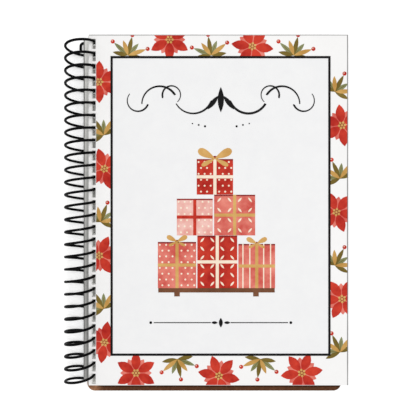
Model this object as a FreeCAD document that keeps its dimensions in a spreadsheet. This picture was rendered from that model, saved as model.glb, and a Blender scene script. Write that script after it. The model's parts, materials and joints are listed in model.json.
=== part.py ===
import FreeCAD
import Part
import math
import os
import re
import Sketcher

# A coil-bound book of gift card pockets, lying on the brown board under its back cover.
# +Z is the front cover's normal, +Y the head of the book, and the coil runs along Y on the -X side.
# All sizes are in mm.
doc = FreeCAD.newDocument("gift_card_book")

SIZES = [
    # the coil
    ("coil_radius", 7.4),
    ("wire_radius", 0.62),
    ("coil_pitch", 6.287),
    ("coil_drop", 0.5),
    ("tail_bend", 1.5),
    ("tail_length", 2.5),
    # the leaves and covers
    ("front_width", 131.6),
    ("leaf_side_step", 0.5),
    ("leaf_height", 177.8),
    ("leaf_thick", 0.35),
    ("front_thick", 0.4),
    ("back_side_lip", 2.6),
    ("back_thick", 0.5),
    ("leaf_gap", 0.05),
    # the brown board under the back cover
    ("board_thick", 2.4),
    ("board_head_lip", 1.0),
    ("board_foot_lip", 5.4),
    ("board_corner", 4.0),
    ("board_from_coil", 0.8),
    ("board_toe", 2.2),
    ("board_toe_drop", 0.7),
    # the punched slots
    ("front_edge_to_slot", 2.6),
    ("leaf_edge_to_slot", 3.4),
    ("back_edge_to_slot", 4.6),
    ("slot_side_play", 0.3),
    ("slot_end_play", 0.35),
    # the pockets, for cards of 85.6 x 54 x 0.76
    ("card_width", 85.6),
    ("card_thick", 0.76),
    ("card_side_play", 1.2),
    ("card_thick_play", 0.09),
    ("spacer_wall", 5.0),
    ("panel_height", 50.0),
    ("panel_thick", 0.3),
    ("notch_radius", 9.0),
    ("pocket_shift", 1.0),
    ("foot_to_pocket", 18.9),
    ("pocket_to_pocket", 36.0),
]

sheet = doc.addObject("Spreadsheet::Sheet", "sizes")
value = {}
for row, (name, number) in enumerate(SIZES, start=1):
    sheet.set("A%d" % row, name)
    sheet.set("B%d" % row, str(number))
    sheet.setAlias("B%d" % row, name)
    value[name] = number
doc.recompute()

LEAVES = 4


def named(text):
    """An expression with every size's name pointed at the spreadsheet."""
    return re.sub("[a-z_]+", lambda word: ("sizes." if word[0] in value else "") + word[0], text)


def worked_out(text):
    """The number that the same expression gives, for the coil's path."""
    return float(sheet.evalExpression(named(text)))


# Heights: the coil and the board lie on the table, and the back cover is glued to the board.
AXIS_Z = "( coil_radius + wire_radius )"
BACK_Z = "board_thick"
SPACER_THICK = "( card_thick + card_thick_play )"
LEAF_STEP = "( leaf_thick + %s + panel_thick + leaf_gap )" % SPACER_THICK


def leaf_z(number):
    """The height of a leaf's underside; leaf 1 lies under the front cover."""
    return "( %s + back_thick + leaf_gap + %d * %s )" % (BACK_Z, LEAVES - number, LEAF_STEP)


FRONT_Z = "( %s + back_thick + leaf_gap + %d * %s )" % (BACK_Z, LEAVES, LEAF_STEP)


def rise(z, thick):
    """How far a sheet's middle lies above the coil's axis."""
    return "( %s + %s / 2 - %s )" % (z, thick, AXIS_Z)


def crossing(z, thick):
    """How far from the axis the wire's inner and outer sides cross a sheet."""
    low = "abs( %s - %s )" % (z, AXIS_Z)
    high = "abs( %s + %s - %s )" % (z, thick, AXIS_Z)
    inner = "sqrt( ( coil_radius - wire_radius ) ^ 2 - max( %s ; %s ) ^ 2 )" % (low, high)
    outer = "sqrt( ( coil_radius + wire_radius ) ^ 2 - min( %s ; %s ) ^ 2 )" % (low, high)
    return inner, outer


def slot_x(z, thick):
    """How far from the axis a sheet's slots have their middle."""
    return "( ( %s + %s ) / 2 )" % crossing(z, thick)


def slot_width(z, thick):
    inner, outer = crossing(z, thick)
    return "( %s - %s + 2 * slot_side_play )" % (outer, inner)


def lead(z, thick):
    """How far the wire runs along the axis between the axis height and the sheet."""
    return "coil_pitch * asin( %s / coil_radius ) / 360deg" % rise(z, thick)


# The box round the whole book is centred on X and Y.
FRONT_SLOT_X = slot_x(FRONT_Z, "front_thick")
SPAN_X = "( %s - front_edge_to_slot + front_width - coil_radius - wire_radius )" % FRONT_SLOT_X
SPINE_X = "( 0 - %s / 2 )" % SPAN_X
MID_Y = "( ( board_foot_lip - board_head_lip ) / 2 )"
COIL_Y = "( %s - coil_drop )" % MID_Y
LOOPS = "floor( leaf_height / coil_pitch )"
ROW = "( ( %s - 1 ) * coil_pitch )" % LOOPS
SNUG_LENGTH = "( coil_pitch / 12 + 2 * wire_radius + 2 * slot_end_play )"
TURNING_LENGTH = "( coil_pitch / 2 + 2 * wire_radius + 2 * slot_end_play )"


def bind(thing, prop, text):
    thing.setExpression(prop, named(text))


def flat_sketch(body, name):
    sketch = body.newObject("Sketcher::SketchObject", name)
    sketch.AttachmentSupport = [(body.Origin.OriginFeatures[3], "")]
    sketch.MapMode = "FlatFace"
    return sketch


def outline(sketch, points, numbers):
    """A closed outline of straight edges; numbers holds one (x, y) pair of expressions a corner."""
    count = len(points)
    for i in range(count):
        a = FreeCAD.Vector(points[i][0], points[i][1], 0)
        b = FreeCAD.Vector(points[(i + 1) % count][0], points[(i + 1) % count][1], 0)
        sketch.addGeometry(Part.LineSegment(a, b), False)
    for i in range(count):
        sketch.addConstraint(Sketcher.Constraint("Coincident", i, 2, (i + 1) % count, 1))
    for i in range(count):
        for kind, axis in (("DistanceX", 0), ("DistanceY", 1)):
            at = sketch.addConstraint(Sketcher.Constraint(kind, -1, 1, i, 1, points[i][axis]))
            sketch.renameConstraint(at, "%s%d" % ("x" if axis == 0 else "y", i))
            sketch.setExpression("Constraints.%s%d" % ("x" if axis == 0 else "y", i), named(numbers[i][axis]))


def box_outline(sketch, x0, x1, y0, y1):
    numbers = [(x0, y0), (x1, y0), (x1, y1), (x0, y1)]
    outline(sketch, [(worked_out(x), worked_out(y)) for x, y in numbers], numbers)


def padded(body, sketch, thick):
    pad = body.newObject("PartDesign::Pad", body.Name + "_pad")
    pad.Profile = sketch
    bind(pad, "Length", thick)
    sketch.Visibility = False
    body.Tip = pad
    return pad


def cut_through(body, sketch, name):
    pocket = body.newObject("PartDesign::Pocket", name)
    pocket.Profile = sketch
    pocket.Type = 1
    pocket.Reversed = True
    sketch.Visibility = False
    body.Tip = pocket
    return pocket


def row_of_slots(body, width, length, first_y):
    """One slot for each loop of the coil, from the foot up."""
    sketch = flat_sketch(body, body.Name + "_slot")
    box_outline(
        sketch,
        "0 - %s / 2" % width,
        "%s / 2" % width,
        "%s - %s / 2" % (first_y, length),
        "%s + %s / 2" % (first_y, length),
    )
    slot = cut_through(body, sketch, body.Name + "_slot_cut")
    row = body.newObject("PartDesign::LinearPattern", body.Name + "_slot_row")
    row.Originals = [slot]
    row.Direction = (sketch, ["V_Axis"])
    bind(row, "Length", ROW)
    bind(row, "Occurrences", LOOPS)
    body.Tip = row


def rounded(body, at, radius):
    """Rounds the upright corner edges at the points given."""
    base = body.Tip
    doc.recompute()
    names = []
    for i, edge in enumerate(base.Shape.Edges):
        middle = edge.CenterOfMass
        upright = abs(edge.tangentAt(edge.FirstParameter).z) > 0.9
        if upright and any(abs(middle.x - x) < 0.01 and abs(middle.y - y) < 0.01 for x, y in at):
            names.append("Edge%d" % (i + 1))
    fillet = body.newObject("PartDesign::Fillet", body.Name + "_corners")
    fillet.Base = (base, names)
    bind(fillet, "Radius", radius)
    body.Tip = fillet


def placed(body, x, y, z):
    bind(body, "Placement.Base.x", x)
    bind(body, "Placement.Base.y", y)
    bind(body, "Placement.Base.z", z)


def new_body(name):
    body = doc.addObject("PartDesign::Body", name)
    body.Label = name
    return body


# Each sheet's own origin is on its row of slots, halfway up the leaf, at its underside.
def punched_sheet(name, z, thick, edge, width, slot_length, drop):
    """A sheet with its row of slots; drop is how far the slots' middles lie below the wire at rest."""
    body = new_body(name)
    sketch = flat_sketch(body, name + "_outline")
    far = "%s - %s" % (width, edge)
    box_outline(sketch, "0 - %s" % edge, far, "0 - leaf_height / 2", "leaf_height / 2")
    padded(body, sketch, thick)
    wire_y = "( coil_pitch / 4 - coil_drop - %s / 2 - %s )" % (ROW, lead(z, thick))
    row_of_slots(body, slot_width(z, thick), slot_length, "( %s - %s )" % (wire_y, drop))
    placed(body, "%s + %s" % (SPINE_X, slot_x(z, thick)), MID_Y, z)


# A sheet that turns has its slots a quarter pitch below the wire, which moves half a pitch in half a turn.
DROP = "coil_pitch / 4"
punched_sheet(
    "front_cover", FRONT_Z, "front_thick", "front_edge_to_slot", "front_width", TURNING_LENGTH, DROP
)
LEAF_WIDTH = "( front_width - leaf_side_step )"
for n in range(1, LEAVES + 1):
    punched_sheet(
        "leaf_%d" % n, leaf_z(n), "leaf_thick", "leaf_edge_to_slot", LEAF_WIDTH, TURNING_LENGTH, DROP
    )

# The back cover doesn't turn against the coil, so its slots sit on the wire.
BACK_WIDTH = "( front_width + back_side_lip )"
punched_sheet("back_cover", BACK_Z, "back_thick", "back_edge_to_slot", BACK_WIDTH, SNUG_LENGTH, "0")

# The brown board is cut back beside the coil, apart from a toe below the last loop.
board = new_body("back_board")
board_sketch = flat_sketch(board, "back_board_outline")
BOARD_LEFT = "( coil_radius + wire_radius + board_from_coil )"
BOARD_RIGHT = "( %s - back_edge_to_slot + %s )" % (slot_x(BACK_Z, "back_thick"), BACK_WIDTH)
BOARD_HEAD = "( leaf_height / 2 + board_head_lip )"
BOARD_FOOT = "( 0 - leaf_height / 2 - board_foot_lip )"
TOE_TOP = "( 0 - leaf_height / 2 - board_toe_drop )"
board_corners = [
    ("board_toe", BOARD_FOOT),
    (BOARD_RIGHT, BOARD_FOOT),
    (BOARD_RIGHT, BOARD_HEAD),
    (BOARD_LEFT, BOARD_HEAD),
    (BOARD_LEFT, TOE_TOP),
    ("board_toe", TOE_TOP),
]
board_points = [(worked_out(x), worked_out(y)) for x, y in board_corners]
outline(board_sketch, board_points, board_corners)
padded(board, board_sketch, "board_thick")
rounded(board, board_points[:4], "board_corner")
placed(board, SPINE_X, MID_Y, "0")

# The pockets: a U of board spaces the kraft panel off the leaf by a card's thickness.
HALF_PANEL = "( card_width / 2 + card_side_play + spacer_wall )"
HALF_CARD = "( card_width / 2 + card_side_play )"
MIDDLE = "( %s / 2 - leaf_edge_to_slot + pocket_shift )" % LEAF_WIDTH
LOWER_FOOT = "( foot_to_pocket - leaf_height / 2 )"
FEET = {"lower": LOWER_FOOT, "upper": "( %s + panel_height + pocket_to_pocket )" % LOWER_FOOT}


def spacer(name, number, foot):
    body = new_body(name)
    sketch = flat_sketch(body, name + "_outline")
    left, right = ["( %s %s %s )" % (MIDDLE, sign, HALF_PANEL) for sign in "-+"]
    inner_left, inner_right = ["( %s %s %s )" % (MIDDLE, sign, HALF_CARD) for sign in "-+"]
    top = "( %s + panel_height )" % foot
    floor = "( %s + spacer_wall )" % foot
    numbers = [
        (left, foot),
        (right, foot),
        (right, top),
        (inner_right, top),
        (inner_right, floor),
        (inner_left, floor),
        (inner_left, top),
        (left, top),
    ]
    outline(sketch, [(worked_out(x), worked_out(y)) for x, y in numbers], numbers)
    padded(body, sketch, SPACER_THICK)
    z = leaf_z(number)
    placed(body, "%s + %s" % (SPINE_X, slot_x(z, "leaf_thick")), MID_Y, "%s + leaf_thick" % z)


def panel(name, number, foot):
    body = new_body(name)
    sketch = flat_sketch(body, name + "_outline")
    top = "( %s + panel_height )" % foot
    sides = ["( %s %s %s )" % (MIDDLE, sign, HALF_PANEL) for sign in "-+"]
    box_outline(sketch, sides[0], sides[1], foot, top)
    padded(body, sketch, "panel_thick")
    notch = flat_sketch(body, name + "_notch")
    at = FreeCAD.Vector(worked_out(MIDDLE), worked_out(top), 0)
    notch.addGeometry(Part.Circle(at, FreeCAD.Vector(0, 0, 1), value["notch_radius"]), False)
    for kind, label, text, number_now in (
        ("DistanceX", "mid_x", MIDDLE, at.x),
        ("DistanceY", "mid_y", top, at.y),
    ):
        c = notch.addConstraint(Sketcher.Constraint(kind, -1, 1, 0, 3, number_now))
        notch.renameConstraint(c, label)
        notch.setExpression("Constraints." + label, named(text))
    c = notch.addConstraint(Sketcher.Constraint("Radius", 0, value["notch_radius"]))
    notch.renameConstraint(c, "radius")
    notch.setExpression("Constraints.radius", named("notch_radius"))
    cut_through(body, notch, name + "_notch_cut")
    z = leaf_z(number)
    placed(
        body,
        "%s + %s" % (SPINE_X, slot_x(z, "leaf_thick")),
        MID_Y,
        "%s + leaf_thick + %s" % (z, SPACER_THICK),
    )


for n in range(1, LEAVES + 1):
    for place in ("upper", "lower"):
        spacer("leaf_%d_%s_spacer" % (n, place), n, FEET[place])
        panel("leaf_%d_%s_pocket" % (n, place), n, FEET[place])
doc.recompute()

# The coil: from a bent tail beside the head of the back cover, up through the slots, over to the left,
# and under again, stepping towards the foot by one pitch a turn.
radius, wire, pitch = value["coil_radius"], value["wire_radius"], value["coil_pitch"]
loops = int(worked_out(LOOPS))
axis_x, axis_z, coil_y = worked_out(SPINE_X), worked_out(AXIS_Z), worked_out(COIL_Y)
head_y = coil_y + worked_out(ROW) / 2 + pitch / 4
slope = pitch / (2 * math.pi * radius)


def on_coil(turn):
    a = 2 * math.pi * turn
    return FreeCAD.Vector(axis_x + radius * math.cos(a), head_y - pitch * turn, axis_z + radius * math.sin(a))


def along_coil(turn):
    a = 2 * math.pi * turn
    return FreeCAD.Vector(-math.sin(a), -slope, math.cos(a)).normalize()


def halfway(start, way, end):
    """The middle of the arc that leaves start along way and comes to end."""
    chord = end - start
    normal = (chord - way * way.dot(chord)).normalize()
    size = chord.dot(chord) / (2 * normal.dot(chord))
    centre = start + normal * size
    return centre + (start + end - centre * 2).normalize() * size


def biarc(p, p_way, q, q_way):
    """Two arcs that leave p along p_way and reach q along q_way."""
    v, t = q - p, p_way + q_way
    k = 2 * (1 - p_way.dot(q_way))
    d = (math.sqrt(v.dot(t) ** 2 + k * v.dot(v)) - v.dot(t)) / k
    mid = (p + p_way * d + q - q_way * d) * 0.5
    return [Part.Arc(p, halfway(p, p_way, mid), mid), Part.Arc(mid, halfway(q, q_way * -1, mid), q)]


def tail(point, way, run):
    """Where the bend after the coil's end is halfway and done, and the tip of the straight tail along run."""
    side = (run - way * way.dot(run)).normalize()
    centre = point + side * value["tail_bend"]
    angle = math.acos(way.dot(run))
    ends = []
    for a in (angle / 2, angle):
        ends.append(centre + (way * math.sin(a) - side * math.cos(a)) * value["tail_bend"])
    return ends[0], ends[1], ends[1] + run * value["tail_length"]


first_turn, last_turn = -0.25, loops - 0.25
start, end = on_coil(first_turn), on_coil(last_turn)
footward = FreeCAD.Vector(0, -1, 0)
start_half, start_stop, start_tip = tail(start, along_coil(first_turn) * -1, footward)
end_half, end_stop, end_tip = tail(end, along_coil(last_turn), footward * -1)
path = [Part.LineSegment(start_tip, start_stop), Part.Arc(start_stop, start_half, start)]
steps = 2 * loops
for i in range(steps):
    a = first_turn + (last_turn - first_turn) * i / steps
    b = first_turn + (last_turn - first_turn) * (i + 1) / steps
    path += biarc(on_coil(a), along_coil(a), on_coil(b), along_coil(b))
path += [Part.Arc(end, end_half, end_stop), Part.LineSegment(end_stop, end_tip)]
path_wire = Part.Wire([p.toShape() for p in path])

# The wire's section has five sides with one corner outward, so the whole coil stays light to mesh.
SIDES = 5
ring = []
for i in range(SIDES):
    a = 2 * math.pi * i / SIDES - math.pi / 2
    ring.append(start_tip + FreeCAD.Vector(wire * math.cos(a), 0, wire * math.sin(a)))
section = Part.makePolygon(ring + ring[:1])
shell = Part.BRepOffsetAPI.MakePipeShell(path_wire)
shell.add(section)
shell.build()
shell.makeSolid()
coil = doc.addObject("Part::Feature", "coil")
coil.Label = "coil"
coil.Shape = shell.shape()
doc.recompute()

# The coil's least gap to itself, measured on points along its middle line at least a third of a turn apart.
points = path_wire.discretize(Distance=0.5)
least = 1e9
apart = int(2 * math.pi * radius / 3 / 0.5)
for i in range(len(points)):
    for j in range(i + apart, min(len(points), i + 6 * apart)):
        least = min(least, points[i].distanceToPoint(points[j]))
print("coil: least gap to itself %.3f mm" % (least - 2 * wire))

os.makedirs("parts", exist_ok=True)
wrong = [o.Name for o in doc.Objects if "Invalid" in o.State or "Error" in o.State]
bodies = [o for o in doc.Objects if o.TypeId == "PartDesign::Body"] + [coil]
wrong += [o.Label for o in bodies if not o.Shape.isValid() or not o.Shape.Solids]
if wrong:
    raise RuntimeError("not sound: " + ", ".join(wrong))
for o in bodies:
    o.Shape.exportStep("parts/%s.step" % o.Label)
print("wrote %d parts" % len(bodies))
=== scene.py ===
import itertools
import json
import math

import bmesh
import bpy
from mathutils import Matrix, Vector


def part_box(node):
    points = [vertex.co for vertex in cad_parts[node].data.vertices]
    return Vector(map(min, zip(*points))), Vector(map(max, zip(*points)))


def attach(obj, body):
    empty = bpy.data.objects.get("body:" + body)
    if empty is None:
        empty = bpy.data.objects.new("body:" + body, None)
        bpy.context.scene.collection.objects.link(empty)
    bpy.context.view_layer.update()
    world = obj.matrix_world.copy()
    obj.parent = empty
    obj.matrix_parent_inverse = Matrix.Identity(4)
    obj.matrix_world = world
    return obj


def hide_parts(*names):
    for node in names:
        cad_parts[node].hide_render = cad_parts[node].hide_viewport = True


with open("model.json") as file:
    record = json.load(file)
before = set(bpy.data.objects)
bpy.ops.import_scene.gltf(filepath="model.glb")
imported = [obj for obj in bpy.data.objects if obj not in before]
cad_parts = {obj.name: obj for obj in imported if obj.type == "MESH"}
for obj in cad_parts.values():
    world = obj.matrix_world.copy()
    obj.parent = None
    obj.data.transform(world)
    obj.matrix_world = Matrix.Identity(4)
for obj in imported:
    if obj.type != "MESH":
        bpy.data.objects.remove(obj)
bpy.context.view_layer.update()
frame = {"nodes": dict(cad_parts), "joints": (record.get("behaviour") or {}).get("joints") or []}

MM = 0.001
COIL_AXIS = Vector(frame["joints"][0]["pos_m"])
COIL_RADIUS = 7.32 * MM
WIRE_RADIUS = 0.655 * MM
COIL_PITCH = 6.287 * MM
COIL_LOOPS = 28
COIL_MIDDLE_Y = 1.7 * MM
FIRST_TURN = -0.25
STEPS_A_TURN = 40
WIRE_SIDES = 14
TAIL_BEND = 1.5 * MM
TAIL_LENGTH = 2.5 * MM
BEND_STEPS = 10
END_INSET, END_DOME = 0.35 * WIRE_RADIUS, 0.2 * WIRE_RADIUS


class Sock:
    """A shader socket that takes part in Python expressions; each operator adds a Math node."""

    def __init__(self, tree, socket=None):
        self.tree = tree
        self.socket = socket

    def node(self, kind, settings=None, sockets=None, out=0):
        """Adds a node: its settings first, then the values or links of its sockets."""
        made = self.tree.nodes.new("ShaderNode" + kind)
        for name, setting in (settings or {}).items():
            setattr(made, name, setting)
        for name, given in (sockets or {}).items():
            if isinstance(given, Sock):
                self.tree.links.new(given.socket, made.inputs[name])
            else:
                made.inputs[name].default_value = given
        return Sock(self.tree, made.outputs[out])

    def maths(self, operation, a, b):
        return self.node("Math", {"operation": operation}, {0: a, 1: b})

    def __add__(self, other):
        return self.maths("ADD", self, other)

    def __radd__(self, other):
        return self.maths("ADD", other, self)

    def __sub__(self, other):
        return self.maths("SUBTRACT", self, other)

    def __rsub__(self, other):
        return self.maths("SUBTRACT", other, self)

    def __mul__(self, other):
        return self.maths("MULTIPLY", self, other)

    def __rmul__(self, other):
        return self.maths("MULTIPLY", other, self)

    def above(self, edge):
        return self.maths("GREATER_THAN", self, edge)

    def or_more(self, other):
        return self.maths("MAXIMUM", self, other)

    def unsigned(self):
        return self.maths("ABSOLUTE", self, 0.0)

    def axis(self, name):
        return self.node("SeparateXYZ", None, {0: self}, out=name)

    def noise(self, scale, detail=3.0, roughness=0.55):
        sockets = {"Vector": self, "Scale": scale, "Detail": detail, "Roughness": roughness}
        return self.node("TexNoise", None, sockets)

    def stretched(self, x, y, z):
        return self.node("Mapping", None, {"Vector": self, "Scale": (x, y, z)})

    def between(self, first, second):
        """Mixes two colours, with this value as the share of the second."""
        sockets = {"Factor": self, 6: first, 7: second}
        return self.node("Mix", {"data_type": "RGBA", "clamp_factor": True}, sockets, out=2)

    def spread(self, low, high):
        """Stretches the part of this value between low and high over 0 to 1."""
        return self.node("MapRange", {"clamp": True}, {"Value": self, "From Min": low, "From Max": high})


def rgba(seen):
    """A colour as it is seen on a screen, 0 to 255, as the light that Blender works in."""
    light = [((c / 255 + 0.055) / 1.055) ** 2.4 if c > 10 else c / 255 / 12.92 for c in seen]
    return (*light, 1.0)


def finish_named(name, settings):
    """A new material: its shader with the settings that are the same all over, and its Object coordinates."""
    material = bpy.data.materials.new(name)
    material.use_nodes = True
    tree = material.node_tree
    shader = tree.nodes["Principled BSDF"]
    for socket, setting in settings.items():
        shader.inputs[socket].default_value = setting
    place = Sock(tree).node("TexCoord", out="Object")
    return material, shader, place


def feed(shader, **links):
    """Links values to the shader's sockets, whose names have _ for a space here."""
    for name, value in links.items():
        value.tree.links.new(value.socket, shader.inputs[name.replace("_", " ")])


def bumped(height, strength, distance):
    return height.node("Bump", None, {"Strength": strength, "Distance": distance, "Height": height})


def wire_coat():
    """A smooth black coat that is a little dull where the sheets rub it."""
    settings = {"Specular IOR Level": 0.03, "Coat Roughness": 0.3}
    material, shader, place = finish_named("black_wire_coat", settings)
    cloud = place.noise(420.0, detail=4.0)
    rub = place.noise(95.0, detail=2.0).spread(0.62, 0.8)
    dark = cloud.between(rgba((2, 2, 3)), rgba((8, 8, 9)))
    feed(
        shader,
        Base_Color=rub.between(dark, rgba((19, 18, 18))),
        Roughness=0.42 + 0.16 * cloud + 0.1 * rub,
        Coat_Weight=0.03 - 0.025 * rub,
        Normal=bumped(place.noise(2600.0, detail=2.0), strength=0.15, distance=0.04 * MM),
    )
    return material


def on_coil(turn):
    """A point on the wire's middle line, counted in turns from the head."""
    angle = 2 * math.pi * turn
    head = COIL_MIDDLE_Y + (COIL_LOOPS - 1) * COIL_PITCH / 2 + COIL_PITCH / 4
    x = COIL_AXIS.x + COIL_RADIUS * math.cos(angle)
    return Vector((x, head - COIL_PITCH * turn, COIL_AXIS.z + COIL_RADIUS * math.sin(angle)))


def new_piece(name, shape, material, body, smooth=False):
    """Makes an object from a bmesh, gives it its finish, and puts it on its body."""
    mesh = bpy.data.meshes.new(name)
    shape.to_mesh(mesh)
    shape.free()
    piece = bpy.data.objects.new(name, mesh)
    bpy.context.scene.collection.objects.link(piece)
    mesh.materials.append(material)
    if smooth:
        mesh.shade_smooth()
    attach(piece, body)
    return piece


def bent_over(bm, ring, point, way, run):
    """Bends a tail over at the coil's end, from along way to along run, and closes its cut end."""
    side = (run - way * way.dot(run)).normalized()
    turned = bmesh.ops.spin(
        bm,
        geom=ring,
        cent=point + side * TAIL_BEND,
        axis=way.cross(run).normalized(),
        angle=math.acos(way.dot(run)),
        steps=BEND_STEPS,
    )
    last = [e for e in turned["geom_last"] if isinstance(e, bmesh.types.BMEdge)]
    drawn = bmesh.ops.extrude_edge_only(bm, edges=last)["geom"]
    ends = [v for v in drawn if isinstance(v, bmesh.types.BMVert)]
    bmesh.ops.translate(bm, verts=ends, vec=run * TAIL_LENGTH)
    rim = [e for e in drawn if isinstance(e, bmesh.types.BMEdge) and all(v in ends for v in e.verts)]
    cap = bmesh.ops.contextual_create(bm, geom=rim)["faces"]
    bmesh.ops.inset_region(bm, faces=cap, thickness=END_INSET, depth=END_DOME)


coil_mesh = bmesh.new()
lead_angle = math.atan2(COIL_PITCH, 2 * math.pi * COIL_RADIUS)
start_way = Vector((math.cos(lead_angle), -math.sin(lead_angle), 0))
coil_start = on_coil(FIRST_TURN)
upright = Matrix.Translation(coil_start) @ start_way.to_track_quat("Z", "Y").to_matrix().to_4x4()
bmesh.ops.create_circle(coil_mesh, segments=WIRE_SIDES, radius=WIRE_RADIUS, matrix=upright)
first_edges = coil_mesh.edges[:]
wound = bmesh.ops.spin(
    coil_mesh,
    geom=first_edges,
    cent=(COIL_AXIS.x, 0, COIL_AXIS.z),
    axis=(0, -1, 0),
    dvec=(0, -COIL_PITCH / STEPS_A_TURN, 0),
    angle=2 * math.pi * COIL_LOOPS,
    steps=STEPS_A_TURN * COIL_LOOPS,
)
last_edges = [e for e in wound["geom_last"] if isinstance(e, bmesh.types.BMEdge)]
bent_over(coil_mesh, last_edges, on_coil(COIL_LOOPS + FIRST_TURN), start_way, Vector((0, 1, 0)))
bent_over(coil_mesh, first_edges, coil_start, -start_way, Vector((0, -1, 0)))
bmesh.ops.recalc_face_normals(coil_mesh, faces=coil_mesh.faces)
coil = new_piece("coil_wire", coil_mesh, wire_coat(), "book", smooth=True)
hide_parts("coil")

# The back board: thick brown board with rounded corners, glued under the back cover and cut back beside
# the coil. It is a little taller than the leaves, so it shows below the cover's foot, with painted shade
# on its top beside the cover, and paler at its left corner.
FACES_UPWARD = 0.5
BOARD_LOW, BOARD_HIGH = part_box("back_board")
GLUED_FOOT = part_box("back_cover")[0].y
SHADE_BAND_WIDTH = 3.8 * MM
PALE_CORNER = 8.0 * MM


def cut_edge(place):
    """1 on the narrow cut edges of a flat sheet, 0 on its faces."""
    normal = place.node("TexCoord", out="Normal")
    return 1.0 - normal.axis("Z").unsigned().above(FACES_UPWARD)


def fibres(place, scale):
    """Fine threads that lie mostly along the sheet's height."""
    along = place.stretched(scale, scale * 0.16, scale).noise(1.0, detail=4.0, roughness=0.65)
    across = place.stretched(scale * 0.22, scale, scale).noise(1.0, detail=3.0, roughness=0.6)
    return along * 0.65 + across * 0.35


def brown_paper(name, light, dark, fleck, grain, marks=()):
    """Uncoated brown paper or board: threads, clouds and dark flecks, and layers in its cut edges.

    Each mark is a function that gives its share at a place, and its colour.
    """
    material, shader, place = finish_named(name, {"Specular IOR Level": 0.12})
    threads = fibres(place, grain)
    cloud = place.noise(70.0)
    specks = place.noise(grain * 0.9, detail=1.0, roughness=0.4).spread(0.66, 0.72)
    ground = (threads.spread(0.36, 0.66) * 0.7 + cloud * 0.3).between(rgba(dark), rgba(light))
    flecked = (specks * 0.55).between(ground, rgba(fleck))
    for mark, tone in marks:
        flecked = mark(place).between(flecked, rgba(tone))
    edge = cut_edge(place)
    layers = place.stretched(60.0, 60.0, 6500.0).noise(1.0, detail=2.0)
    core = layers.between(rgba(dark), rgba([c * 0.72 for c in dark]))
    feed(
        shader,
        Base_Color=(edge * 0.8).between(flecked, core),
        Roughness=0.82 - 0.12 * threads,
        Normal=bumped(threads + edge * layers, strength=0.35, distance=0.06 * MM),
    )
    return material


def painted_shade_band(place):
    """The share of painted shade on the board's top along the back cover's foot, standing in for the cover's
    shadow.
    """
    past_foot = GLUED_FOOT - place.axis("Y") + (place.noise(120.0) - 0.5) * (0.4 * MM)
    on_top = place.axis("Z").above(BOARD_HIGH.z * 0.9)
    return on_top * (0.9 - 0.9 * past_foot.spread(SHADE_BAND_WIDTH * 0.8, SHADE_BAND_WIDTH))


def pale_corner(place):
    """The share of the board's surface that is paler at the left corner of its foot."""
    wander = (place.noise(260.0) - 0.5) * (3.0 * MM)
    in_from_side = place.axis("X") - BOARD_LOW.x + wander
    up_from_foot = place.axis("Y") - BOARD_LOW.y
    beside = 1.0 - in_from_side.spread(PALE_CORNER * 0.6, PALE_CORNER)
    below = 1.0 - up_from_foot.spread(PALE_CORNER * 0.6, PALE_CORNER)
    return beside * below * (0.55 + 0.45 * place.noise(700.0).spread(0.35, 0.6))


def refinish(node, material):
    """Gives a CAD node its finish."""
    node_object = frame["nodes"][node]
    node_object.data.materials.clear()
    node_object.data.materials.append(material)


# The board's marks: painted shade along the back cover's foot, and a paler patch at its left corner.
board_marks = [(painted_shade_band, (38, 16, 5)), (pale_corner, (162, 115, 84))]
brown_board = brown_paper("brown_board", (106, 66, 41), (70, 41, 24), (44, 25, 14), 900.0, board_marks)
refinish("back_board", brown_board)

# The back cover: stout white card glued to the board, punched along its left edge, which reaches furthest
# under the coil and so shows as a shaded strip beside the leaves; painted shade darkens that strip too.
OUTER_MARGIN = 1.0 * MM
SHADE_LINE, SHADE_STRIP = 0.8 * MM, 3.4 * MM
SHADE_AT_FOOT = 0.6


def at_outside(place, low, high):
    """1 along the four sides of the box from low to high, 0 further in, where the slots are."""
    middle, half = (low + high) / 2, (high - low) / 2
    side = (place.axis("X") - middle.x).unsigned().above(half.x - OUTER_MARGIN)
    end = (place.axis("Y") - middle.y).unsigned().above(half.y - OUTER_MARGIN)
    return side.or_more(end)


def white_card(sheet, rim, light, shade, grey, grain, rough):
    """White card with outer cut edges painted grey as shade; rim gives the share of grey on its faces, from
    the sheet's box.
    """
    low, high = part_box(sheet)
    material, shader, place = finish_named(sheet + "_card", {"Specular IOR Level": 0.3})
    threads = fibres(place, grain)
    tint = (threads * 0.5 + place.noise(38.0) * 0.5).spread(0.3, 0.7)
    clean = tint.between(rgba(shade), rgba(light))
    face = rim(place, low, high).between(clean, rgba(grey))
    # Painted shade: the outer cut edges turn grey.
    outer_edge = cut_edge(place) * at_outside(place, low, high)
    feed(
        shader,
        Base_Color=(outer_edge * 0.85).between(face, rgba(grey)),
        Roughness=rough + 0.12 * threads,
        Normal=bumped(threads, strength=0.22, distance=0.04 * MM),
    )
    return material


def painted_shade_edge(place, low, high):
    """Painted shade along the left edge: a dark line at the edge, and a grey strip that deepens towards the
    foot.
    """
    wander = (place.noise(60.0, detail=2.0) - 0.5) * (0.4 * MM)
    x = place.axis("X") + wander
    line = 0.95 - 0.95 * x.spread(low.x + SHADE_LINE * 0.4, low.x + SHADE_LINE)
    strip = 1.0 - x.spread(low.x + SHADE_STRIP * 0.8, low.x + SHADE_STRIP)
    return line.or_more(strip * (SHADE_AT_FOOT - SHADE_AT_FOOT * place.axis("Y").spread(low.y, high.y)))


back_card = white_card(
    "back_cover", painted_shade_edge, (243, 242, 239), (232, 231, 228), (96, 96, 94), grain=1900.0, rough=0.55
)
refinish("back_cover", back_card)

# The leaves: uncoated white card, punched along the left edge like the covers. Each sheet lies where the
# wire crosses it, so their left edges step in under the cover, with painted shade along them at the foot.
LEAVES = 4
LEAF_SHADE_AT_FOOT = 0.9


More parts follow.
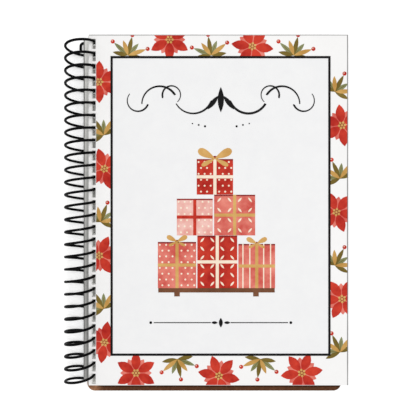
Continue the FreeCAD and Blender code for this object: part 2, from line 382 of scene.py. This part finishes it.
def painted_shade_foot(place, low, high):
    """Painted shade along the left edge, most at the foot and none at the head."""
    line = 1.0 - place.axis("X").spread(low.x + SHADE_LINE, low.x + SHADE_LINE * 1.6)
    return line * (LEAF_SHADE_AT_FOOT - LEAF_SHADE_AT_FOOT * place.axis("Y").spread(low.y, high.y))


for number in range(1, LEAVES + 1):
    leaf = "leaf_%d" % number
    leaf_card = white_card(
        leaf, painted_shade_foot, (240, 240, 237), (228, 228, 224), (120, 120, 118), grain=1600.0, rough=0.62
    )
    refinish(leaf, leaf_card)

# The pockets: panels of thin kraft card with a thumb notch, each glued to a U of kraft board that
# spaces it off the leaf by the thickness of a gift card.
kraft_card = brown_paper("kraft_card", (190, 150, 108), (160, 120, 82), (112, 78, 48), 1300.0)
kraft_board = brown_paper("kraft_board", (172, 134, 96), (140, 104, 72), (98, 68, 44), 1000.0)
for number in range(1, LEAVES + 1):
    for place_on_leaf in ("upper", "lower"):
        refinish("leaf_%d_%s_pocket" % (number, place_on_leaf), kraft_card)
        refinish("leaf_%d_%s_spacer" % (number, place_on_leaf), kraft_board)

# The front cover: stout white card with a matt coat, printed on its front. The print starts to the
# right of the punched slots. Its head and right edges carry a thin line of painted shadow.
COVER_LOW, COVER_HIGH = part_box("front_cover")
RIM_RIGHT, RIM_HEAD = 0.8 * MM, 0.7 * MM


def painted_shadow_rim(place, low, high):
    """Painted shadow: grey along the right and head edges, in a line that wanders a little."""
    wander = (place.noise(45.0, detail=2.0) - 0.5) * (0.3 * MM)
    x, y = place.axis("X") + wander, place.axis("Y") + wander
    right = x.spread(high.x - RIM_RIGHT, high.x - RIM_RIGHT * 0.4)
    head = y.spread(high.y - RIM_HEAD, high.y - RIM_HEAD * 0.3)
    return right.or_more(head * 0.85)


front_card = white_card(
    "front_cover", painted_shadow_rim, (248, 247, 246), (241, 240, 239), (122, 122, 121), grain=2100.0, rough=0.5
)
refinish("front_cover", front_card)

# The print on the cover: twelve inks, each a thin film on the card's face, and later inks cover earlier
# ones. A black line frames a pale panel with a pile of presents; the band outside it has a flower pattern.
FILM_STEP = 0.01 * MM
STAGGER, STAGGERS = 0.0014 * MM, 7
shapes_set = itertools.count()
INKS = {
    "mist": (0, (243, 243, 243), (239, 239, 240)),
    "sage": (1, (150, 152, 112), (118, 122, 78)),
    "olive": (2, (132, 112, 52), (98, 82, 30)),
    "ochre": (3, (214, 172, 102), (180, 132, 62)),
    "pink": (4, (247, 208, 198), (224, 138, 126)),
    "coral": (5, (238, 146, 130), (196, 62, 56)),
    "red": (6, (216, 68, 48), (160, 24, 22)),
    "wine": (7, (158, 48, 42), (108, 20, 24)),
    "cream": (8, (252, 240, 222), (242, 222, 196)),
    "gold": (9, (222, 178, 110), (196, 146, 76)),
    "bark": (10, (128, 84, 58), (96, 60, 40)),
    "black": (11, (8, 8, 9), (17, 16, 17)),
}
flats = {ink: bmesh.new() for ink in INKS}


def on_cover(u, v, turn=0.0, across=1.0, along=1.0):
    """Sets a flat shape on the cover, u mm from its left edge and v mm from its head.

    Each shape lies a hair higher than the last, so that shapes of one ink can overlap.
    """
    lift = STAGGER * (next(shapes_set) % STAGGERS)
    at = Vector((COVER_LOW.x + u * MM, COVER_HIGH.y - v * MM, COVER_HIGH.z + lift))
    size = Matrix.Diagonal((across * MM, along * MM, 1.0, 1.0))
    return Matrix.Translation(at) @ Matrix.Rotation(math.radians(turn), 4, "Z") @ size


def disc(bm, matrix, segments=16):
    """A flat disc of radius 1."""
    return bmesh.ops.create_circle(bm, cap_ends=True, segments=segments, radius=1.0, matrix=matrix)["verts"]


def dot(bm, u, v, radius, segments=16):
    disc(bm, on_cover(u, v, 0, radius, radius), segments)


def bar(bm, matrix):
    """A flat rectangle, from -1 to 1 each way."""
    return bmesh.ops.create_grid(bm, x_segments=1, y_segments=1, size=1.0, matrix=matrix)["verts"]


def lens(bm, matrix, segments=16):
    """A pointed leaf, from -1 to 1 along its length."""
    verts = disc(bm, Matrix.Identity(4), segments)
    for vert in verts:
        vert.co.x *= abs(vert.co.x)
    bmesh.ops.transform(bm, matrix=matrix, verts=verts)


def towards(u, v, lean, far):
    """The place far mm from u and v, in the direction that a shape turned by lean points to."""
    a = math.radians(lean)
    return u - math.sin(a) * far, v - math.cos(a) * far


# The print's flower pattern: star-shaped blossoms and leaf fans that alternate along the four sides of
# the band. It is drawn whole, then cut off at the panel and at the print's own edges.
PANEL_LEFT, PANEL_RIGHT, PANEL_HEAD, PANEL_FOOT = 11.1, 122.6, 10.9, 162.8
PRINT_LEFT, PRINT_RIGHT, PRINT_HEAD, PRINT_FOOT = 3.8, 131.1, 0.4, 177.6
BLOSSOM, FAN = 10.5, 9.5
PETALS = [("red", 0, 0.56, 0.23, 0.46), ("pink", 0, 0.6, 0.035, 0.3), ("coral", 30, 0.4, 0.19, 0.36)]
SIDE_STEP, END_STEP = 44.0, 42.0
pattern = {ink: bmesh.new() for ink in INKS}


def blossom(u, v, turn):
    """Six veined petals over six shorter ones, and an eye with a ring of gold dots."""
    for i in range(6):
        for ink, off, far, wide, long in PETALS:
            lean = turn + 60 * i + off
            at = towards(u, v, lean, BLOSSOM * far)
            lens(pattern[ink], on_cover(*at, lean, BLOSSOM * wide, BLOSSOM * long))
        eye_dot = towards(u, v, turn + 60 * i + 30, BLOSSOM * 0.14)
        dot(pattern["gold"], *eye_dot, BLOSSOM * 0.06, 10)
    dot(pattern["wine"], u, v, BLOSSOM * 0.17, 14)
    dot(pattern["gold"], u, v, BLOSSOM * 0.06, 10)


def leaf_fan(u, v, turn):
    """Seven ribbed leaves spread from one point, with a berry beyond every second one."""
    for i in range(7):
        lean = turn + 30 * (i - 3)
        half = FAN * (0.5 if i % 2 else 0.42)
        ink = ("olive", "ochre", "sage")[i % 3]
        lens(pattern[ink], on_cover(*towards(u, v, lean, half), lean, FAN * 0.12, half))
        bar(pattern["olive"], on_cover(*towards(u, v, lean, half * 0.7), lean, FAN * 0.016, half * 0.7))
        if i % 2:
            berry_u, berry_v = towards(u, v, lean, FAN * 1.1)
            glint = FAN * 0.03
            dot(pattern["red"], berry_u, berry_v, FAN * 0.11, 14)
            dot(pattern["cream"], berry_u - glint, berry_v - glint, glint, 8)


for i in range(4):
    v = 24.0 + SIDE_STEP * i
    blossom(5.4 + 2.6 * (i % 2), v, 17.0 * i)
    leaf_fan(124.8 + 2.6 * (i % 2), v + 5.0, 24 if i % 2 else -28)
for i in range(3):
    v = 46.0 + SIDE_STEP * i
    leaf_fan(7.6 - 1.6 * (i % 2), v + 5.0, -20 if i % 2 else 30)
    blossom(128.4 - 2.8 * (i % 2), v, 13.0 * i + 8.0)
    u = 20.0 + END_STEP * i
    leaf_fan(u, 10.5, 8 if i % 2 else -12)
    blossom(u + 4.0, 171.5 + 1.5 * (i % 2), 19.0 * i)
for i in range(2):
    u = 41.0 + END_STEP * i
    blossom(u, 2.6 + 3.4 * i, 23.0 * i)
    leaf_fan(u + 4.0, 164.5, 172 if i % 2 else 190)

BANDS = [
    (PRINT_LEFT, PANEL_LEFT, PRINT_HEAD, PRINT_FOOT),
    (PANEL_RIGHT, PRINT_RIGHT, PRINT_HEAD, PRINT_FOOT),
    (PANEL_LEFT, PANEL_RIGHT, PRINT_HEAD, PANEL_HEAD),
    (PANEL_LEFT, PANEL_RIGHT, PANEL_FOOT, PRINT_FOOT),
]
for ink, whole in pattern.items():
    for left, right, head, foot in BANDS:
        cut = whole.copy()
        left_and_right = [(left, head, (-1, 0, 0)), (right, head, (1, 0, 0))]
        head_and_foot = [(left, head, (0, 1, 0)), (left, foot, (0, -1, 0))]
        for u, v, way in left_and_right + head_and_foot:
            everything = cut.verts[:] + cut.edges[:] + cut.faces[:]
            at = on_cover(u, v).translation
            bmesh.ops.bisect_plane(cut, geom=everything, plane_co=at, plane_no=way, clear_outer=True)
        loose = bpy.data.meshes.new("loose")
        cut.to_mesh(loose)
        cut.free()
        flats[ink].from_mesh(loose)
        bpy.data.meshes.remove(loose)
    whole.free()

# The print's panel: a pale grey ground with a black line round it. The line is a rectangle that is inset
# by the line's width and loses its middle.
FRAME_LINE = 1.15
panel_middle = (PANEL_LEFT + PANEL_RIGHT) / 2, (PANEL_HEAD + PANEL_FOOT) / 2
panel_half = (PANEL_RIGHT - PANEL_LEFT) / 2, (PANEL_FOOT - PANEL_HEAD) / 2
bar(flats["mist"], on_cover(*panel_middle, 0, *panel_half))
outer = bar(flats["black"], on_cover(*panel_middle, 0, *panel_half))
panel_face = [f for f in flats["black"].faces if all(v in outer for v in f.verts)]
bmesh.ops.inset_region(
    flats["black"], faces=panel_face, thickness=FRAME_LINE * MM, use_boundary=True, use_even_offset=True
)
bmesh.ops.delete(flats["black"], geom=panel_face, context="FACES_ONLY")

# The print's presents: six wrapped boxes piled on a low plank in the middle of the panel, in dotted,
# striped and sprigged papers, with ribbons round them and three bows.
PILE_U = 64.8
FLOOR_V, MIDDLE_V, TOP_V = 128.5, 101.8, 81.1
PLANK_V, PLANK_HALF = 129.6, (29.5, 1.1)
LEG_V, LEG_OFF, LEG_HALF = 131.6, 20.0, (1.4, 1.1)
RIBBON_HALF = 0.8
LID_HALF = 0.35
DOT_STEP, DOT_STAGGER, DOT_RADIUS = 2.8, 0.4, 0.5
STRIPE_STEP, STRIPE_HALF = 3.5, 0.3
SPRIG_STEP, SPRIG_ROOM, SPRIG_TURN, SPRIG_SIZE = 4.4, 1.1, 40, (0.5, 1.5)


def present(u, v, wide, tall, paper, dress, ribbon):
    """A present seen from the front; u and v are the middle of its foot."""
    middle_v = v - tall / 2

    def dress_spots(step, stagger, room):
        """Rows of places on the paper, apart from those that the ribbon covers."""
        rows, columns = int(tall / step), int(wide / step)
        for i in range(rows):
            for j in range(columns):
                off_u = (j + 0.5 + stagger * (i % 2 - 0.5)) * wide / columns - wide / 2
                off_v = (i + 0.5) * tall / rows - tall / 2
                if min(abs(off_u), abs(off_v)) > RIBBON_HALF + room:
                    yield u + off_u, middle_v + off_v, (i + j) % 2

    bar(flats[paper], on_cover(u, middle_v, 0, wide / 2, tall / 2))
    if dress == "dots":
        for at_u, at_v, _ in dress_spots(DOT_STEP, DOT_STAGGER, DOT_RADIUS):
            dot(flats["cream"], at_u, at_v, DOT_RADIUS, 10)
    elif dress == "stripes":
        for i in (-2, -1, 1, 2):
            bar(flats["cream"], on_cover(u + STRIPE_STEP * i, middle_v, 0, STRIPE_HALF, tall / 2))
    elif dress == "sprigs":
        for at_u, at_v, odd in dress_spots(SPRIG_STEP, 0.0, SPRIG_ROOM):
            lens(flats["cream"], on_cover(at_u, at_v, SPRIG_TURN if odd else -SPRIG_TURN, *SPRIG_SIZE), 10)
    bar(flats[ribbon], on_cover(u, middle_v, 0, RIBBON_HALF, tall / 2))
    bar(flats[ribbon], on_cover(u, middle_v, 0, wide / 2, RIBBON_HALF))
    bar(flats["wine"], on_cover(u, v - tall + LID_HALF, 0, wide / 2, LID_HALF))


def loop(bm, matrix):
    """A bow's loop, whose narrow end is at the origin and whose length is 1."""
    verts = disc(bm, Matrix.Identity(4))
    for vert in verts:
        vert.co.x *= 0.62 + 0.38 * vert.co.y
        vert.co.y = (vert.co.y + 1) / 2
    bmesh.ops.transform(bm, matrix=matrix, verts=verts)


def bow(u, v, size):
    """Two loops, two hanging ends and a knot."""
    for side in (-1, 1):
        loop(flats["gold"], on_cover(u, v, side * 62, size * 0.3, size))
        loop(flats["gold"], on_cover(u, v, side * 118, size * 0.17, size * 0.8))
    disc(flats["wine"], on_cover(u, v, 0, size * 0.17, size * 0.15))


bar(flats["bark"], on_cover(PILE_U, PLANK_V, 0, *PLANK_HALF))
for side in (-1, 1):
    bar(flats["bark"], on_cover(PILE_U + side * LEG_OFF, LEG_V, 0, *LEG_HALF))
present(PILE_U - 20.0, FLOOR_V, 19.4, 23.4, "coral", "dots", "gold")
present(PILE_U + 0.4, FLOOR_V, 20.2, 26.6, "red", "sprigs", "cream")
present(PILE_U + 20.4, FLOOR_V, 18.6, 22.4, "coral", "stripes", "gold")
present(PILE_U - 11.0, MIDDLE_V, 18.2, 18.6, "pink", "dots", "red")
present(PILE_U + 9.2, MIDDLE_V, 20.8, 20.6, "coral", "sprigs", "gold")
present(PILE_U - 0.8, TOP_V, 18.4, 18.0, "red", "dots", "cream")
bow(PILE_U - 0.8, 62.9, 9.6)
bow(PILE_U - 20.0, 104.9, 5.8)
bow(PILE_U + 20.4, 105.9, 5.8)

# The print's ornaments: pen flourishes above the presents and a ruled line below them, in black ink, the
# same on both sides of the panel's middle. After them every ink is raised to its film and becomes a piece.
ORNAMENT_U = 67.0
POINT_V, DOTS_V, RULE_V = 33.0, 46.5, 146.0
PEN_STEPS = 28
SCROLL = [
    (14.0, 30.0, 10.0, 200, 130, 1.15, 0.5),
    (31.0, 35.2, 9.0, 150, -150, 1.15, 0.5),
    (25.0, 30.6, 4.6, -20, 250, 0.95, 0.6),
    (42.0, 33.5, 5.4, 200, 200, 0.95, 0.6),
]
black = flats["black"]


def pen_stroke(u, v, radius, start, sweep, width, taper):
    """An arc round u and v, width mm wide, thinning by the share taper towards its end."""
    middle = on_cover(u, v).translation
    a = math.radians(start)
    way = Vector((math.cos(a), math.sin(a), 0)) * MM
    pen = [black.verts.new(middle + way * r) for r in (radius - width / 2, radius + width / 2)]
    edge = black.edges.new(pen)
    bmesh.ops.spin(
        black, geom=[edge], cent=middle, axis=(0, 0, 1), angle=math.radians(sweep), steps=PEN_STEPS
    )
    row = set(pen)
    for face in black.faces:
        if row & set(face.verts):
            row |= set(face.verts)
    for vert in row:
        out = vert.co - middle
        turned = math.degrees(math.atan2(out.y, out.x)) - start
        share = (turned * (1 if sweep > 0 else -1)) % 360 / abs(sweep)
        line = out.normalized() * radius * MM
        vert.co = middle + line + (out - line) * (1 - taper * min(share, 1.0))


for side in (-1, 1):
    for off_u, v, radius, start, sweep, width, taper in SCROLL:
        if side < 0:
            start, sweep = 180 - start, -sweep
        pen_stroke(ORNAMENT_U + side * off_u, v, radius, start, sweep, width, taper)
    for i in range(3):
        dot(black, ORNAMENT_U + side * (8.0 + 3.2 * i), DOTS_V - 0.7 * i, 0.55 - 0.1 * i)
lens(black, on_cover(ORNAMENT_U, POINT_V, 0, 1.6, 6.4))
for side in (-1, 1):
    lens(black, on_cover(ORNAMENT_U + side * 4.0, POINT_V + 1.5, side * 38, 1.2, 4.4))
    bar(black, on_cover(ORNAMENT_U + side * 19.5, RULE_V, 0, 14.5, 0.22))
    dot(black, ORNAMENT_U + side * 35.5, RULE_V, 0.7)
    lens(black, on_cover(ORNAMENT_U + side * 3.2, RULE_V, 90, 0.7, 1.6))
lens(black, on_cover(ORNAMENT_U, RULE_V, 0, 1.0, 2.4))


def ink_finish(name, light, deep):
    """Print that is a little uneven, as brush colour is: a broad wash, small pools and a fine grain."""
    material, shader, place = finish_named(name, {"Specular IOR Level": 0.08})
    wash = place.noise(95.0, detail=2.0, roughness=0.5).spread(0.36, 0.64)
    pools = place.noise(300.0, detail=4.0, roughness=0.6).spread(0.34, 0.68)
    grain = place.noise(2400.0, detail=2.0)
    feed(
        shader,
        Base_Color=(wash * 0.5 + pools * 0.4 + grain * 0.1).between(rgba(light), rgba(deep)),
        Roughness=0.5 + 0.15 * grain,
        Normal=bumped(grain, strength=0.12, distance=0.03 * MM),
    )
    return material


for ink, (level, light, deep) in INKS.items():
    name, flat = "print_" + ink, flats[ink]
    loose_edges = [e for e in flat.edges if not e.link_faces]
    bmesh.ops.delete(flat, geom=loose_edges, context="EDGES")
    raised = bmesh.ops.extrude_face_region(flat, geom=flat.faces[:], use_keep_orig=True)["geom"]
    tops = [v for v in raised if isinstance(v, bmesh.types.BMVert)]
    bmesh.ops.translate(flat, verts=tops, vec=(0, 0, FILM_STEP * (level + 1)))
    bmesh.ops.recalc_face_normals(flat, faces=flat.faces)
    new_piece(name, flat, ink_finish(name, light, deep), "front")

# The floor, the light and the camera. The book lies on a plain white table and is seen from straight
# above at a short distance, so sheets that lie lower draw in towards the middle.
FLOOR_HALF, FLOOR_Z = 3.0, -0.03 * MM
FLOOR_GLOW = 0.26
FILL_LIGHT = 0.64
LAMP_PLACE, LAMP_WIDE, LAMP_DEEP, LAMP_WATTS = (0.25, 0.12, 1.4), 1.1, 0.9, 8.7
PICTURE = 416
PIXELS_A_MM = 1.973
CAMERA_OVER, CAMERA_HEIGHT = (60.5, 87.9), 240.0
SENSOR = 36.0


def seen_directly(tree):
    """1 for rays from the camera, or from a mirroring or clear piece, 0 for the light on the object."""
    kinds = ("Is Camera Ray", "Is Glossy Ray", "Is Transmission Ray")
    camera_ray, mirrored, passed = (Sock(tree).node("LightPath", out=kind) for kind in kinds)
    return camera_ray + mirrored + passed


floor_mesh = bmesh.new()
floor_place = Matrix.Translation((0, 0, FLOOR_Z))
bmesh.ops.create_grid(floor_mesh, x_segments=1, y_segments=1, size=FLOOR_HALF, matrix=floor_place)
floor_data = bpy.data.meshes.new("floor")
floor_mesh.to_mesh(floor_data)
floor_mesh.free()
floor = bpy.data.objects.new("floor", floor_data)
bpy.context.scene.collection.objects.link(floor)
floor_settings = {"Roughness": 0.9, "Specular IOR Level": 0.1, "Emission Strength": 1.0}
floor_paint, floor_shader, floor_spot = finish_named("floor_paint", floor_settings)
feed(
    floor_shader,
    Base_Color=floor_spot.noise(3.0).between(rgba((250, 250, 250)), rgba((252, 252, 252))),
    Emission_Color=seen_directly(floor_paint.node_tree) * FLOOR_GLOW,
)
floor_data.materials.append(floor_paint)

world = bpy.data.worlds.new("studio")
bpy.context.scene.world = world
world.use_nodes = True
sky = world.node_tree.nodes["Background"]
sky.inputs["Color"].default_value = (1.0, 1.0, 1.0, 1.0)
strength = FILL_LIGHT + (1.0 - FILL_LIGHT) * seen_directly(world.node_tree)
world.node_tree.links.new(strength.socket, sky.inputs["Strength"])

lamp = bpy.data.lights.new("soft_box", "AREA")
lamp.shape = "RECTANGLE"
lamp.size, lamp.size_y = LAMP_WIDE, LAMP_DEEP
lamp.energy = LAMP_WATTS
soft_box = bpy.data.objects.new("soft_box", lamp)
soft_box.location = LAMP_PLACE
soft_box.rotation_euler = (-soft_box.location).to_track_quat("-Z", "Y").to_euler()
bpy.context.scene.collection.objects.link(soft_box)

camera_data = bpy.data.cameras.new("camera")
camera_data.sensor_width = SENSOR
camera_data.lens = SENSOR * PIXELS_A_MM * CAMERA_HEIGHT / PICTURE
camera_data.clip_start = 0.01
camera = bpy.data.objects.new("camera", camera_data)
camera.location = on_cover(*CAMERA_OVER).translation + Vector((0, 0, CAMERA_HEIGHT * MM))
bpy.context.scene.collection.objects.link(camera)
bpy.context.scene.camera = camera
bpy.context.scene.view_settings.view_transform = "Standard"
